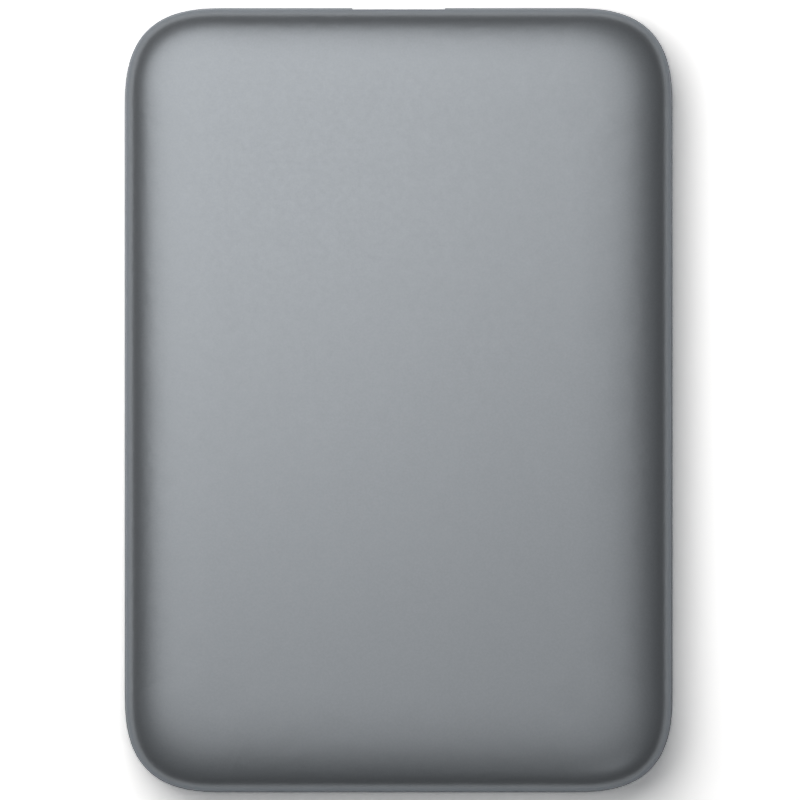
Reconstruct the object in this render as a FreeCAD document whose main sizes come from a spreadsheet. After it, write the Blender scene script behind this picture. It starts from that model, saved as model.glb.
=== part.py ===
import FreeCAD, Part
import math
import os
import re
import Sketcher

# Portable hard drive: a two-shell case round a 2.5-inch disk drive and its bridge board.
# Origin below the middle of the case, level with the soles of its feet; +Z up, socket towards +Y.

V = FreeCAD.Vector
doc = FreeCAD.newDocument("portable_drive")

# Driving dimensions, in millimetres, or degrees where the name ends in angle
SIZES = {
    # Case
    "side_room": 5.075,
    "rear_room": 4.4,
    "face_room": 3.9,
    "case_wall": 1.5,
    "corner_reach": 14.6,
    "edge_reach": 15.0,
    "corner_pull": 0.35,
    "edge_shoulder": 0.95,
    "edge_roll": 0.005,
    "edge_mid": 0.8,
    "face_taper": 0.6,
    "seam_gap": 0.3,
    "seam_step": 0.25,
    "lip_height": 1.2,
    "lip_thickness": 0.7,
    "lip_fit": 0.1,
    "bead_radius": 0.25,
    "bead_length": 8.0,
    "bead_fit": 0.05,
    "bead_end_share": 0.5,
    "bead_side_share": 0.6,
    "post_radius": 1.7,
    "post_pin_radius": 0.9,
    "post_fit": 0.1,
    "post_offset": 21.0,
    # Rubber feet
    "foot_radius": 4.0,
    "foot_height": 0.9,
    "foot_sunk": 0.5,
    "foot_bevel": 0.2,
    "foot_fit": 0.05,
    "foot_margin": 1.0,
    # Rubber corners
    "bumper_grip": 9.0,
    "bumper_front": 3.0,
    "bumper_fit": 0.1,
    "bumper_clear": 0.1,
    # Drive block
    "drive_width": 69.85,
    "drive_length": 100.2,
    "drive_corner": 3.5,
    "deck_thickness": 1.2,
    "side_wall": 2.2,
    "bay_wall": 1.4,
    "bay_gap": 0.8,
    "shelf_thickness": 0.8,
    "shelf_margin": 6.0,
    "arm_bay_offset": 18.0,
    "lid_thickness": 0.6,
    "lid_inset": 0.3,
    "lid_ring_radius": 27.0,
    "lid_ring_width": 2.2,
    "lid_ring_depth": 0.15,
    "gasket_thickness": 0.2,
    "gasket_inset": 0.4,
    "gasket_width": 1.0,
    "screw_inset": 4.2,
    "screw_radius": 0.7,
    "screw_length": 2.6,
    "screw_head_radius": 1.4,
    "screw_head_height": 0.35,
    "screw_fit": 0.05,
    "mount_hole_radius": 1.25,
    "mount_hole_depth": 2.4,
    "mount_hole_spread": 61.72,
    "mount_hole_front": 14.0,
    "mount_hole_rear": 90.6,
    "side_hole_height": 3.0,
    # Disk stack and its motor
    "disk_radius": 32.5,
    "disk_bore": 10.0,
    "disk_thickness": 0.635,
    "disk_room": 0.8,
    "disk_rim": 1.625,
    "hub_fit": 0.05,
    "hub_lip": 0.15,
    "flange_reach": 2.4,
    "flange_thickness": 0.5,
    "clamp_radius": 12.0,
    "clamp_thickness": 0.5,
    "clamp_screw_radius": 0.6,
    "clamp_screw_depth": 1.4,
    "clamp_screw_circle": 6.4,
    "motor_floor": 0.6,
    "motor_gap": 0.25,
    "motor_room": 0.9,
    "shaft_radius": 1.5,
    "shaft_fit": 0.05,
    "sleeve_wall": 1.7,
    "boss_gap": 0.35,
    "boss_wall": 0.7,
    "core_ring": 1.0,
    "core_thickness": 0.5,
    "core_reach": 4.0,
    "tooth_width": 0.8,
    "winding": 0.28,
    "air_gap": 0.3,
    "magnet_wall": 1.0,
    "skirt_wall": 0.8,
    # Actuator
    "pivot_x": -8.0,
    "pivot_reach": 38.0,
    "arm_length": 32.5,
    "arm_thickness": 0.4,
    "arm_room": 0.55,
    "arm_root": 10.0,
    "arm_tip": 3.6,
    "arm_hole_radius": 1.5,
    "arm_hole_place": 11.0,
    "arm_hub_radius": 6.2,
    "suspension_length": 13.0,
    "suspension_seat": 4.0,
    "suspension_thickness": 0.1,
    "suspension_nose": 1.0,
    "slider_length": 1.2,
    "slider_width": 1.0,
    "slider_height": 0.2,
    "fly_gap": 0.15,
    "tab_reach": 2.5,
    "tab_width": 0.6,
    "park_gap": 1.25,
    "head_room": 1.8,
    "pivot_radius": 2.0,
    "pivot_fit": 0.05,
    "pivot_flange": 1.2,
    "pivot_step": 0.25,
    "sleeve_radius": 4.0,
    "sleeve_fit": 0.02,
    "coil_inner": 8.8,
    "coil_outer": 15.2,
    "coil_band": 2.0,
    "coil_angle": 40.0,
    "coil_band_angle": 11.0,
    "coil_thickness": 0.8,
    "frame_angle": 6.0,
    "frame_wall": 1.2,
    # Voice coil motor
    "yoke_inner": 8.0,
    "yoke_outer": 17.2,
    "yoke_thickness": 0.6,
    "yoke_margin_angle": 7.0,
    "yoke_room": 0.18,
    "voice_magnet_thickness": 0.8,
    "coil_gap": 0.25,
    "stop_orbit": 12.5,
    "stop_radius": 1.3,
    "stop_gap": 0.3,
    "post_core": 0.8,
    "stop_fit": 0.02,
    # Parking ramp, flexible cable and filters
    "ramp_gap": 0.05,
    "ramp_nose": 1.1,
    "ramp_spine": 1.5,
    "ramp_inside": 1.0,
    "ramp_outside": 2.5,
    "flex_angle": 40.0,
    "flex_radius": 4.5,
    "flex_thickness": 0.15,
    "flex_height": 2.6,
    "flex_gap": 0.1,
    "flex_lift": 0.3,
    "bracket_depth": 3.0,
    "bracket_width": 6.0,
    "breather_radius": 3.2,
    "breather_height": 1.2,
    "breather_x": 6.925,
    "breather_inset": 5.0,
    "filter_thickness": 2.6,
    "filter_length": 7.0,
    "filter_height": 3.6,
    "filter_gap": 0.3,
    "filter_offset": 22.0,
    # Drive board
    "board_inset": 0.1,
    "board_thickness": 0.8,
    "board_margin": 8.0,
    "board_fit": 0.15,
    "board_ledge": 2.6,
    "board_front": 0.6,
    "chip_height": 0.8,
    "drive_controller_x": -6.0,
    "drive_controller_width": 8.0,
    "drive_controller_length": 6.5,
    "cache_memory_x": 5.0,
    "cache_memory_width": 6.0,
    "cache_memory_length": 5.5,
    "motor_driver_x": -16.0,
    "motor_driver_width": 5.5,
    "motor_driver_length": 5.5,
    "pad_thickness": 0.2,
    "board_screw_radius": 0.6,
    "board_screw_head": 1.1,
    "board_screw_height": 0.3,
    "board_screw_length": 0.9,
    # Drive connector
    "header_x": 4.8,
    "sata_height": 3.5,
    "plug_width": 38.0,
    "plug_height": 3.2,
    "plug_depth": 4.5,
    "header_wall": 0.4,
    "header_side": 2.0,
    "header_back": 2.0,
    "header_fit": 0.1,
    "signal_width": 10.4,
    "signal_place": -11.8,
    "power_width": 20.6,
    "power_place": 5.6,
    "blade_thickness": 1.2,
    "blade_length": 3.9,
    "blade_fit": 0.15,
    "contact_pitch": 1.27,
    "contact_width": 0.5,
    "contact_thickness": 0.1,
    "contact_length": 3.0,
    # Bridge board
    "socket_gap": 0.25,
    "socket_depth": 2.75,
    "socket_height": 4.2,
    "socket_side": 2.0,
    "plug_fit": 0.1,
    "bridge_thickness": 1.0,
    "bridge_width": 48.0,
    "bridge_gap": 0.4,
    "bridge_front": 1.7,
    "bridge_corner": 1.0,
    "bridge_controller_x": -12.0,
    "bridge_controller_width": 5.0,
    "bridge_controller_length": 4.6,
    "bridge_controller_height": 0.8,
    "bridge_flash_x": -2.0,
    "bridge_flash_width": 4.0,
    "bridge_flash_length": 3.6,
    "bridge_flash_height": 0.8,
    "bridge_crystal_x": 5.0,
    "bridge_crystal_width": 3.2,
    "bridge_crystal_length": 2.5,
    "bridge_crystal_height": 0.7,
    "bridge_inductor_x": 12.0,
    "bridge_inductor_forward": 1.575,
    "bridge_inductor_width": 2.6,
    "bridge_inductor_length": 2.4,
    "bridge_inductor_height": 1.2,
    "usb_gap": 0.4,
    "usb_depth": 6.0,
    "usb_setback": 0.5,
    "usb_width": 12.3,
    "usb_height": 2.8,
    "usb_wall": 0.3,
    "usb_bevel": 0.8,
    "usb_split": 1.35,
    "usb_notch": 0.35,
    "usb_fit": 0.05,
    "usb_plug": 0.9,
    "usb_blade": 0.6,
    "usb_blade_short": 1.0,
    "usb_blade_inset": 1.0,
    "usb_contact_width": 0.35,
    "usb_contact_pitch": 0.65,
    "port_margin": 0.6,
    "led_x": -11.0,
    "led_width": 1.6,
    "led_depth": 0.9,
    "led_height": 0.8,
    "pipe_radius": 0.75,
    "pipe_collar": 0.45,
    "pipe_collar_length": 0.6,
    "pipe_collar_gap": 0.8,
    "pipe_fit": 0.05,
    "pipe_setback": 0.2,
}

# Places and sizes that follow from the ones above
LAYOUT = {
    # Heights inside the drive, from its underside
    "head_stack": "fly_gap + slider_height + suspension_thickness",
    "arm_low_z": "deck_thickness + arm_room",
    "disk_low_z": "arm_low_z + arm_thickness + head_stack",
    "spacer_height": "2 * head_stack + arm_thickness",
    "disk_pitch": "disk_thickness + spacer_height",
    "disk_high_z": "disk_low_z + disk_pitch",
    "stack_top_z": "disk_high_z + disk_thickness",
    "arm_top_z": "stack_top_z + head_stack + arm_thickness",
    "board_top_z": "board_inset + board_thickness",
    "chip_ceiling": "board_top_z + chip_height + pad_thickness",
    "shelf_z": "chip_ceiling + shelf_thickness",
    "coil_z": "shelf_z + yoke_thickness + voice_magnet_thickness + coil_gap",
    "yoke_upper_z": "coil_z + coil_thickness + coil_gap",
    "yoke_top_z": "yoke_upper_z + yoke_thickness",
    "rim_z": "max(arm_top_z; yoke_top_z) + yoke_room",
    "lid_z": "rim_z + gasket_thickness",
    "drive_height": "lid_z + lid_thickness",
    # Case and where the drive lies in it
    "front_room": "socket_gap + socket_depth + usb_gap + usb_depth + usb_setback",
    "case_width": "drive_width + 2 * side_room",
    "case_length": "rear_room + drive_length + front_room",
    "case_height": "drive_height + 2 * face_room",
    "half_x": "case_width / 2",
    "half_y": "case_length / 2",
    "foot_proud": "foot_height - foot_sunk",
    "seam_z": "foot_proud + case_height / 2",
    "top_z": "foot_proud + case_height",
    "foot_x": "half_x - edge_reach - foot_margin - foot_radius",
    "foot_y": "half_y - edge_reach - foot_margin - foot_radius",
    "drive_rear_y": "rear_room - half_y",
    "drive_front_y": "drive_rear_y + drive_length",
    "drive_z": "foot_proud + face_room",
    # Plan of the drive, from the middle of its rear end
    "bay_radius": "disk_radius + disk_room",
    "spindle_at": "bay_radius + disk_rim",
    "pivot_at": "spindle_at + pivot_reach",
    "arm_bay_end": "pivot_at + arm_hub_radius + bay_gap",
    "header_depth": "plug_depth + header_back",
    "bay_front": "drive_length - header_depth - header_fit - bay_wall",
    "shelf_half": "drive_width / 2 - shelf_margin",
    "board_half": "drive_width / 2 - board_margin",
    "board_rear": "arm_bay_end + bay_wall",
    "board_end": "drive_length - board_front",
    "header_top": "sata_height + plug_height / 2 + header_wall",
    "header_width": "plug_width + 2 * header_side",
    "header_rear": "drive_length - header_depth",
    "socket_end": "header_x + plug_width / 2 + socket_side",
    "bumper_inner": "max(drive_width / 2 - bumper_grip; max(socket_end; bridge_width / 2) + bumper_clear)",
    "spindle_y": "drive_rear_y + spindle_at",
    "pivot_y": "drive_rear_y + pivot_at",
    # Motor
    "ceiling_z": "disk_low_z - flange_thickness",
    "skirt_z": "motor_floor + motor_gap",
    "hub_sleeve": "shaft_radius + shaft_fit + sleeve_wall",
    "boss_inner": "hub_sleeve + boss_gap",
    "boss_outer": "boss_inner + boss_wall",
    "core_outer": "boss_outer + core_reach",
    "core_z": "motor_floor + motor_gap + winding",
    "magnet_inner": "core_outer + air_gap",
    "magnet_outer": "magnet_inner + magnet_wall",
    "skirt_outer": "magnet_outer + skirt_wall",
    "flange_radius": "max(disk_bore; skirt_outer) + flange_reach",
    "motor_recess": "skirt_outer + motor_room",
    "hub_top_z": "stack_top_z - hub_lip",
    "shaft_top_z": "hub_top_z - clamp_screw_depth",
    # Swing of the actuator, from the ramp to the inner track
    "pivot_distance": "sqrt(pivot_x ^ 2 + pivot_reach ^ 2)",
    "pivot_heading": "atan2(-pivot_reach; -pivot_x) / 1 deg",
    "park_radius": "disk_radius + park_gap",
    "inner_radius": "clamp_radius + head_room",
    "arm_square": "pivot_distance ^ 2 + arm_length ^ 2",
    "arm_product": "2 * pivot_distance * arm_length",
    "park_swing": "acos((arm_square - park_radius ^ 2) / arm_product) / 1 deg",
    "inner_swing": "acos((arm_square - inner_radius ^ 2) / arm_product) / 1 deg",
    "swing": "park_swing - inner_swing",
    "park_angle": "pivot_heading + park_swing",
    "coil_rest_angle": "park_angle + 180",
    "coil_mid_angle": "coil_rest_angle - swing / 2",
    "frame_span": "coil_angle + 2 * frame_angle",
    "stop_angle": "frame_span / 2 + (stop_radius + stop_gap) / stop_orbit * 180 / pi",
    "stop_rest_angle": "coil_rest_angle + stop_angle",
    "stop_inner_angle": "coil_rest_angle - swing - stop_angle",
    "yoke_span": "swing + 2 * stop_angle + 2 * yoke_margin_angle",
    "voice_magnet_span": "swing + coil_angle",
    "arm_end": "arm_length - suspension_length",
    "tab_end": "arm_length + tab_reach",
    # Bridge board, in the case's frame
    "sata_z": "drive_z + sata_height",
    "bridge_top_z": "sata_z - socket_height / 2",
    "bridge_z": "bridge_top_z - bridge_thickness",
    "bridge_rear_y": "drive_front_y + bridge_gap",
    "bridge_front_y": "half_y - case_wall - bridge_front",
    "bridge_mid_y": "(bridge_rear_y + bridge_front_y) / 2",
    "usb_front_y": "half_y - usb_setback",
    "led_z": "bridge_top_z + led_height / 2",
}

sheet = doc.addObject("Spreadsheet::Sheet", "Dims")
for row, (name, size) in enumerate(SIZES.items(), start=1):
    sheet.set(f"A{row}", name)
    sheet.set(f"B{row}", str(size))
    sheet.setAlias(f"B{row}", name)
doc.recompute()


def bound(text):
    """Point each name in an expression at the cell or the layout value that holds it."""
    def owner(match):
        name = match.group(0)
        if name in SIZES:
            return "Dims." + name
        return "Layout." + name if name in LAYOUT else name
    return re.sub(r"[a-z_]+", owner, text)


def bind(obj, prop, text):
    obj.setExpression(prop, bound(text))


layout = doc.addObject("App::VarSet", "Layout")
for name in LAYOUT:
    layout.addProperty("App::PropertyFloat", name, "Layout")
for name, text in LAYOUT.items():
    bind(layout, name, text)
doc.recompute()


def number(text):
    return float(layout.evalExpression(bound(text)))


# Nodes that are written out, in the order in which they are made
nodes = []


def node(obj):
    nodes.append(obj)
    return obj


def place(obj, at, turn=None):
    """Bind an object's place, and its turn about Z in degrees."""
    if turn is not None:
        bind(obj, "Placement.Rotation.Angle", f"({turn}) * 1 deg")
    for axis, text in zip("xyz", at):
        bind(obj, "Placement.Base." + axis, text)


# Sketched bodies

def body(label, at=("0", "0", "0"), turn=None):
    piece = doc.addObject("PartDesign::Body", label)
    piece.Label = label
    place(piece, at, turn)
    return piece


def origin_feature(piece, role):
    return next(item for item in piece.Origin.OriginFeatures if item.Role == role)


def sketch(piece, height="0", plane="XY_Plane"):
    """A sketch on one of the body's own planes, lifted along the plane's normal."""
    drawing = piece.newObject("Sketcher::SketchObject", piece.Label + "_sketch")
    drawing.AttachmentSupport = [(origin_feature(piece, plane), "")]
    drawing.MapMode = "FlatFace"
    bind(drawing, "AttachmentOffset.Base.z", height)
    return drawing


def pin_point(drawing, geometry, point, x, y):
    """Tie a point of the sketch to its two expressions."""
    for kind, text in (("DistanceX", x), ("DistanceY", y)):
        index = drawing.addConstraint(Sketcher.Constraint(kind, -1, 1, geometry, point, number(text)))
        drawing.setExpression(f"Constraints[{index}]", bound(text))


def polygon(drawing, points):
    corners = [V(number(x), number(y), 0) for x, y in points]
    first = drawing.GeometryCount
    for start, end in zip(corners, corners[1:] + corners[:1]):
        drawing.addGeometry(Part.LineSegment(start, end), False)
    for index, (x, y) in enumerate(points):
        line = first + index
        before = first + (index - 1) % len(points)
        drawing.addConstraint(Sketcher.Constraint("Coincident", before, 2, line, 1))
        pin_point(drawing, line, 1, x, y)
    return drawing


def rectangle(drawing, x0, x1, y0, y1):
    return polygon(drawing, [(x0, y0), (x1, y0), (x1, y1), (x0, y1)])


def circle(drawing, radius, x="0", y="0"):
    ring = Part.Circle(V(number(x), number(y), 0), V(0, 0, 1), number(radius))
    index = drawing.addGeometry(ring, False)
    pin_point(drawing, index, 3, x, y)
    size = drawing.addConstraint(Sketcher.Constraint("Radius", index, number(radius)))
    drawing.setExpression(f"Constraints[{size}]", bound(radius))
    return drawing


def pad(piece, drawing, length, back=False):
    feature = piece.newObject("PartDesign::Pad", piece.Label + "_pad")
    feature.Profile = drawing
    feature.Reversed = back
    bind(feature, "Length", length)
    piece.Tip = feature
    return feature


def pocket(piece, drawing, depth, back=False):
    """Cut against the sketch's normal, or along it where back is set."""
    feature = piece.newObject("PartDesign::Pocket", piece.Label + "_pocket")
    feature.Profile = drawing
    feature.Reversed = back
    bind(feature, "Length", depth)
    piece.Tip = feature
    return feature


def round_uprights(piece, feature, radius):
    """Round the upright edges of a body's first block."""
    doc.recompute()
    upright = []
    for index, edge in enumerate(feature.Shape.Edges, start=1):
        box = edge.BoundBox
        if box.ZLength > max(box.XLength, box.YLength):
            upright.append(f"Edge{index}")
    fillet = piece.newObject("PartDesign::Fillet", piece.Label + "_fillet")
    fillet.Base = (feature, upright)
    bind(fillet, "Radius", radius)
    piece.Tip = fillet
    return fillet


def repeat_up(piece, feature, span, count):
    """Repeat a feature upwards, with the given distance from the first to the last."""
    pattern = piece.newObject("PartDesign::LinearPattern", piece.Label + "_levels")
    pattern.Originals = [feature]
    pattern.Direction = (origin_feature(piece, "Z_Axis"), [""])
    bind(pattern, "Length", span)
    pattern.Occurrences = count
    piece.Tip = pattern
    return pattern


def repeat_round(piece, feature, count):
    pattern = piece.newObject("PartDesign::PolarPattern", piece.Label + "_ring")
    pattern.Originals = [feature]
    pattern.Axis = (origin_feature(piece, "Z_Axis"), [""])
    pattern.Angle = 360
    pattern.Occurrences = count
    piece.Tip = pattern
    return pattern


def turned(label, at, points):
    """A body turned about its own Z axis from a profile of radius and height."""
    piece = body(label, at)
    drawing = polygon(sketch(piece, plane="XZ_Plane"), points)
    feature = piece.newObject("PartDesign::Revolution", label + "_turn")
    feature.Profile = drawing
    feature.ReferenceAxis = (drawing, ["V_Axis"])
    feature.Angle = 360
    piece.Tip = feature
    return piece


def ring(label, at, inner, outer, low, high):
    return turned(label, at, [(inner, low), (outer, low), (outer, high), (inner, high)])


# Plain solids and booleans

def block(label, low, high, at=("0", "0", "0"), turn=None):
    """A box between two corners, in a frame at the given place and turn."""
    solid = doc.addObject("Part::Box", label)
    solid.Label = label
    for prop, a, b in zip(("Length", "Width", "Height"), low, high):
        bind(solid, prop, f"({b}) - ({a})")
    if turn is None:
        place(solid, [f"{base} + ({corner})" for base, corner in zip(at, low)])
    else:
        aim = f"(({turn}) * 1 deg)"
        x = f"{at[0]} + ({low[0]}) * cos{aim} - ({low[1]}) * sin{aim}"
        y = f"{at[1]} + ({low[0]}) * sin{aim} + ({low[1]}) * cos{aim}"
        place(solid, (x, y, f"{at[2]} + ({low[2]})"), turn)
    return solid


def rod(label, radius, height, at, angle=None, turn=None):
    """An upright cylinder, or a wedge of one."""
    solid = doc.addObject("Part::Cylinder", label)
    solid.Label = label
    bind(solid, "Radius", radius)
    bind(solid, "Height", height)
    if angle is not None:
        bind(solid, "Angle", f"({angle}) * 1 deg")
    place(solid, at, turn)
    return solid


def lying_rod(label, radius, length, at, along):
    """A cylinder that lies along X or Y, from its place in the positive direction."""
    solid = doc.addObject("Part::Cylinder", label)
    solid.Label = label
    bind(solid, "Radius", radius)
    bind(solid, "Height", length)
    tilt = {"x": FreeCAD.Rotation(V(0, 1, 0), 90), "y": FreeCAD.Rotation(V(1, 0, 0), -90)}
    solid.Placement = FreeCAD.Placement(V(0, 0, 0), tilt[along])
    place(solid, at)
    return solid


def fuse(label, *solids):
    joined = doc.addObject("Part::MultiFuse", label)
    joined.Label = label
    joined.Shapes = list(solids)
    return joined


def cut(label, base, *tools):
    tool = tools[0] if len(tools) == 1 else fuse(label + "_tools", *tools)
    result = doc.addObject("Part::Cut", label)
    result.Label = label
    result.Base = base
    result.Tool = tool
    return result


def common(label, first, second):
    result = doc.addObject("Part::Common", label)
    result.Label = label
    result.Base = first
    result.Tool = second
    return result


def group(label, solids):
    """Separate like solids that share one node."""
    gathered = doc.addObject("Part::Compound", label)
    gathered.Label = label
    gathered.Links = list(solids)
    return gathered


def sector(label, inner, outer, low, height, middle, span):
    """A flat ring segment about the actuator's pivot."""
    at = ("pivot_x", "pivot_y", f"drive_z + {low}")
    start = f"({middle}) - ({span}) / 2"
    whole = rod(label + "_disc", outer, height, at, span, start)
    core = rod(label + "_core", inner, height, at)
    return cut(label, whole, core)


# Softly rounded case form

def outline_rows(half_x, half_y, corner, inset, taper):
    """Control points of one level of the case: four sides and four corners, in order."""
    pull = number("corner_pull")
    x = half_x - inset
    y = half_y - inset
    reach = corner * taper
    near = reach * (1 - pull)
    turn = [(x, y - reach), (x, y - near), (x, y), (x - near, y), (x - reach, y)]
    quarter = [turn, [(-px, py) for px, py in reversed(turn)]]
    quarter.append([(-px, -py) for px, py in turn])
    quarter.append([(px, -py) for px, py in reversed(turn)])
    rows = []
    for index, bend in enumerate(quarter):
        after = quarter[(index + 1) % len(quarter)]
        rows.append(bend)
        rows.append([bend[-1], after[0]])
    return rows


def closed_face(rows, z):
    """Flat face inside one level's outline."""
    edges = []
    for row in rows:
        curve = Part.BezierCurve()
        curve.setPoles([V(x, y, z) for x, y in row])
        edges.append(curve.toShape())
    return Part.Face(Part.Wire(edges))


def pillow(half_x, half_y, half_z, corner, reach, middle):
    """Closed form whose sides roll into flat faces above and below."""
    profile = [
        (0, 0),
        (0, number("edge_shoulder") * half_z),
        (number("edge_roll") * reach, half_z),
        (number("edge_mid") * reach, half_z),
        (reach, half_z),
    ]
    levels = []
    for inset, rise in profile:
        taper = 1 - number("face_taper") * inset / reach
        levels.append((outline_rows(half_x, half_y, corner, inset, taper), rise))
    faces = []
    for up in (1, -1):
        for index in range(len(levels[0][0])):
            points = levels[0][0][index]
            surface = Part.BezierSurface()
            surface.increase(len(levels) - 1, len(points) - 1)
            for u, (rows, rise) in enumerate(levels, start=1):
                for v, (x, y) in enumerate(rows[index], start=1):
                    surface.setPole(u, v, V(x, y, middle + up * rise))
            faces.append(surface.toShape())
        faces.append(closed_face(levels[-1][0], middle + up * half_z))
    shell = Part.makeShell(faces)
    shell.sewShape()
    solid = Part.makeSolid(Part.makeShell(shell.Faces))
    if solid.Volume < 0:
        solid.reverse()
    return solid


def case_form(label, inset, sink=None):
    """The case's outer form, drawn in at the sides, and by sink above and below where it differs."""
    form = doc.addObject("Part::Feature", label)
    form.Label = label
    step = number(inset)
    drop = step if sink is None else number(sink)
    form.Shape = pillow(
        number("half_x") - step,
        number("half_y") - step,
        number("case_height / 2") - drop,
        number("corner_reach") - 2 * step,
        number("edge_reach") - step,
        number("seam_z"),
    )
    return form


def case_slab(label, inset, low, high):
    """Upright slab with the seam's outline, drawn in by the given distance."""
    slab = doc.addObject("Part::Feature", label)
    slab.Label = label
    step = number(inset)
    corner = number("corner_reach") - 2 * step
    rows = outline_rows(number("half_x") - step, number("half_y") - step, corner, 0, 1)
    face = closed_face(rows, number(low))
    slab.Shape = face.extrude(V(0, 0, number(high) - number(low)))
    return slab


outer_form = case_form("outer_form", "0")
upper_form = case_form("upper_form", "seam_step", "0")
cavity_form = case_form("cavity_form", "case_wall")

# Snap beads along the lip: axis, steps from the middle of that side, side of the case
BEADS = [("x", step, side) for side in (-1, 1) for step in (-1, 1)]
BEADS += [("y", step, side) for side in (-1, 1) for step in (-1, 0, 1)]


def snap_beads(label, radius, length):
    """Rods half sunk in the lip's outer face, along the straight runs of the seam."""
    beads = []
    height = "seam_z + lip_height - 2 * bead_radius"
    for index, (along, step, side) in enumerate(BEADS):
        face_x = f"{side} * (half_x - case_wall + lip_thickness)"
        face_y = f"{side} * (half_y - case_wall + lip_thickness)"
        if along == "x":
            middle = f"{step} * bead_end_share * (half_x + corner_reach) / 2"
            at = (f"{middle} - ({length}) / 2", face_y, height)
        else:
            middle = f"{step} * bead_side_share * (half_y - corner_reach)"
            at = (face_x, f"{middle} - ({length}) / 2", height)
        beads.append(lying_rod(f"{label}_{index}", radius, length, at, along))
    return beads


def port_cut(label):
    """Opening through the front wall, round the socket."""
    low = ("-usb_width / 2 - port_margin", "usb_front_y - usb_depth", "bridge_top_z - port_margin")
    high = ("usb_width / 2 + port_margin", "half_y + case_wall",
            "bridge_top_z + usb_height + port_margin")
    return block(label, low, high)


def half_space(label, low, high):
    """Everything of the case between two heights."""
    return block(label, ("-half_x - case_wall", "-half_y - case_wall", low),
                 ("half_x + case_wall", "half_y + case_wall", high))


def make_top_cover():
    upper = half_space("upper_half", "seam_z + seam_gap / 2", "top_z + case_wall")
    shell = common("top_shell", upper_form, upper)
    rebate = case_slab(
        "top_rebate", "case_wall - lip_thickness - lip_fit", "seam_z - lip_height",
        "seam_z + lip_height + lip_fit")
    grooves = snap_beads("top_groove", "bead_radius + bead_fit", "bead_length + 2 * bead_fit")
    return cut("top_cover", shell, cavity_form, rebate, port_cut("top_port"), *grooves)


FEET = [
    (f"foot_{end}_{side}", (f"{x} * foot_x", f"{y} * foot_y", "0"))
    for end, y in (("rear", "-1"), ("front", "1"))
    for side, x in (("left", "-1"), ("right", "1"))
]


def make_bottom_cover():
    lower = half_space("lower_half", "-case_wall", "seam_z - seam_gap / 2")
    shell = cut("bottom_shell", common("bottom_form", outer_form, lower), cavity_form)
    lip = cut(
        "bottom_lip",
        case_slab("lip_outside", "case_wall - lip_thickness", "seam_z - lip_height",
                  "seam_z + lip_height"),
        case_slab("lip_inside", "case_wall", "seam_z - 2 * lip_height", "seam_z + 2 * lip_height"))
    port = port_cut("bottom_port")
    light_hole = lying_rod(
        "light_hole", "pipe_radius + pipe_fit", "3 * case_wall",
        ("led_x", "half_y - 2 * case_wall", "led_z"), "y")
    openings = fuse("front_openings", port, light_hole)
    posts = []
    for side, sign in (("left", "-1"), ("right", "1")):
        at = (f"{sign} * post_offset", "bridge_mid_y", "0")
        stem = rod(f"post_{side}", "post_radius", "bridge_z", at)
        tip = rod(f"pin_{side}", "post_pin_radius", "bridge_top_z", at)
        posts.append(common(f"board_post_{side}", fuse(f"post_form_{side}", stem, tip), outer_form))
    beads = snap_beads("bottom_bead", "bead_radius", "bead_length")
    seats = [rod("seat_" + label, "foot_radius + foot_fit", "foot_height", at) for label, at in FEET]
    open_shell = cut("open_shell", shell, openings, *seats)
    open_lip = cut("open_lip", lip, openings)
    return fuse("bottom_cover", open_shell, open_lip, *posts, *beads)


def make_feet():
    for label, at in FEET:
        node(turned(label, at, [
            ("0", "0"), ("foot_radius - foot_bevel", "0"), ("foot_radius", "foot_bevel"),
            ("foot_radius", "foot_height"), ("0", "foot_height"),
        ]))


def make_light_pipe():
    collar_y = "half_y - case_wall - pipe_collar_gap - pipe_collar_length"
    start = "bridge_front_y + pipe_fit"
    stem = lying_rod("pipe_stem", "pipe_radius", f"half_y - pipe_setback - ({start})",
                     ("led_x", start, "led_z"), "y")
    collar = lying_rod("pipe_ring", "pipe_radius + pipe_collar", "pipe_collar_length",
                       ("led_x", collar_y, "led_z"), "y")
    return fuse("light_pipe", stem, collar)


# Frames of the drive, the disk stack and the actuator
DRIVE = ("0", "drive_rear_y", "drive_z")
SPINDLE = ("0", "spindle_y", "drive_z")
PIVOT = ("pivot_x", "pivot_y", "drive_z")


def drive_block(label, grow, low, high):
    """Body with the drive's rounded outline, grown on every side."""
    piece = body(label, DRIVE)
    half = f"drive_width / 2 + {grow}"
    drawing = rectangle(sketch(piece, low), f"-({half})", half, f"-({grow})", f"drive_length + {grow}")
    feature = pad(piece, drawing, f"({high}) - ({low})")
    round_uprights(piece, feature, f"drive_corner + {grow}")
    return piece


def make_bumpers():
    form = case_form("bumper_form", "case_wall + bumper_fit")
    drive = drive_block("bumper_seat", "bumper_fit", "-bumper_fit", "drive_height + bumper_fit")
    ends = {
        "rear": ("-half_y", "drive_rear_y + bumper_grip"),
        "front": ("drive_front_y - bumper_grip", "drive_front_y + bumper_front"),
    }
    sides = {"left": ("-half_x", "-bumper_inner"), "right": ("bumper_inner", "half_x")}
    for end, (y0, y1) in ends.items():
        for side, (x0, x1) in sides.items():
            label = f"bumper_{end}_{side}"
            corner = block(label + "_corner", (x0, y0, "0"), (x1, y1, "top_z"))
            node(cut(label, common(label + "_form", form, corner), drive))


# Drive base, lid and their fasteners

LID_SCREWS = [
    ("-(drive_width / 2 - screw_inset)", "screw_inset"),
    ("drive_width / 2 - screw_inset", "screw_inset"),
    ("-(drive_width / 2 - screw_inset)", "drive_length - screw_inset"),
    ("drive_width / 2 - screw_inset", "drive_length - screw_inset"),
]
PIVOT_SCREW = [("pivot_x", "pivot_at")]
BOARD_SCREWS = [
    (f"{sign} * (board_half - board_ledge / 2)", y)
    for sign in ("-1", "1")
    for y in ("board_rear + board_ledge / 2", "header_rear - board_ledge / 2")
]


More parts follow.
